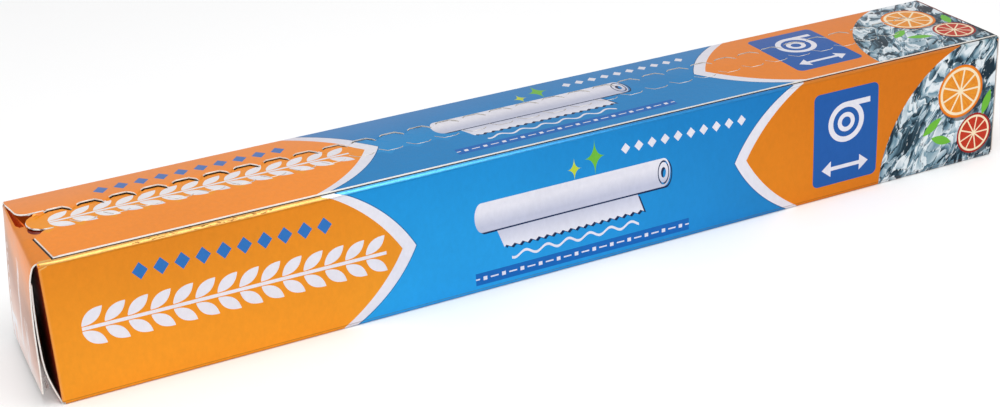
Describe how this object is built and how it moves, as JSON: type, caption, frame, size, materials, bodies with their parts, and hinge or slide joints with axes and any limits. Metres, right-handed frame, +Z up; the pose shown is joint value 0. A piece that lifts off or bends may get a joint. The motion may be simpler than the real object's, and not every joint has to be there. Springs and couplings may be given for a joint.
{
  "type": "aluminium foil roll",
  "caption": "Long roll of household aluminium foil on a paperboard core, sealed in a printed folding carton with a perforated tear strip in its lid.",
  "frame": {"origin": "middle of the carton's base, on the surface it rests on", "axes": "+X along the roll, -Y out of the carton's front, +Z up"},
  "size_m": [0.3118, 0.0434, 0.0415],
  "materials": {
    "printed_board": "metallised film laminate, satin, printed orange and blue",
    "foil": "bright rolled foil",
    "core_board": "plain grey-brown paperboard"
  },
  "bodies": {
    "root": {"carton": "printed_board", "foil_roll": "foil", "core_tube": "core_board"}
  },
  "joints": []
}
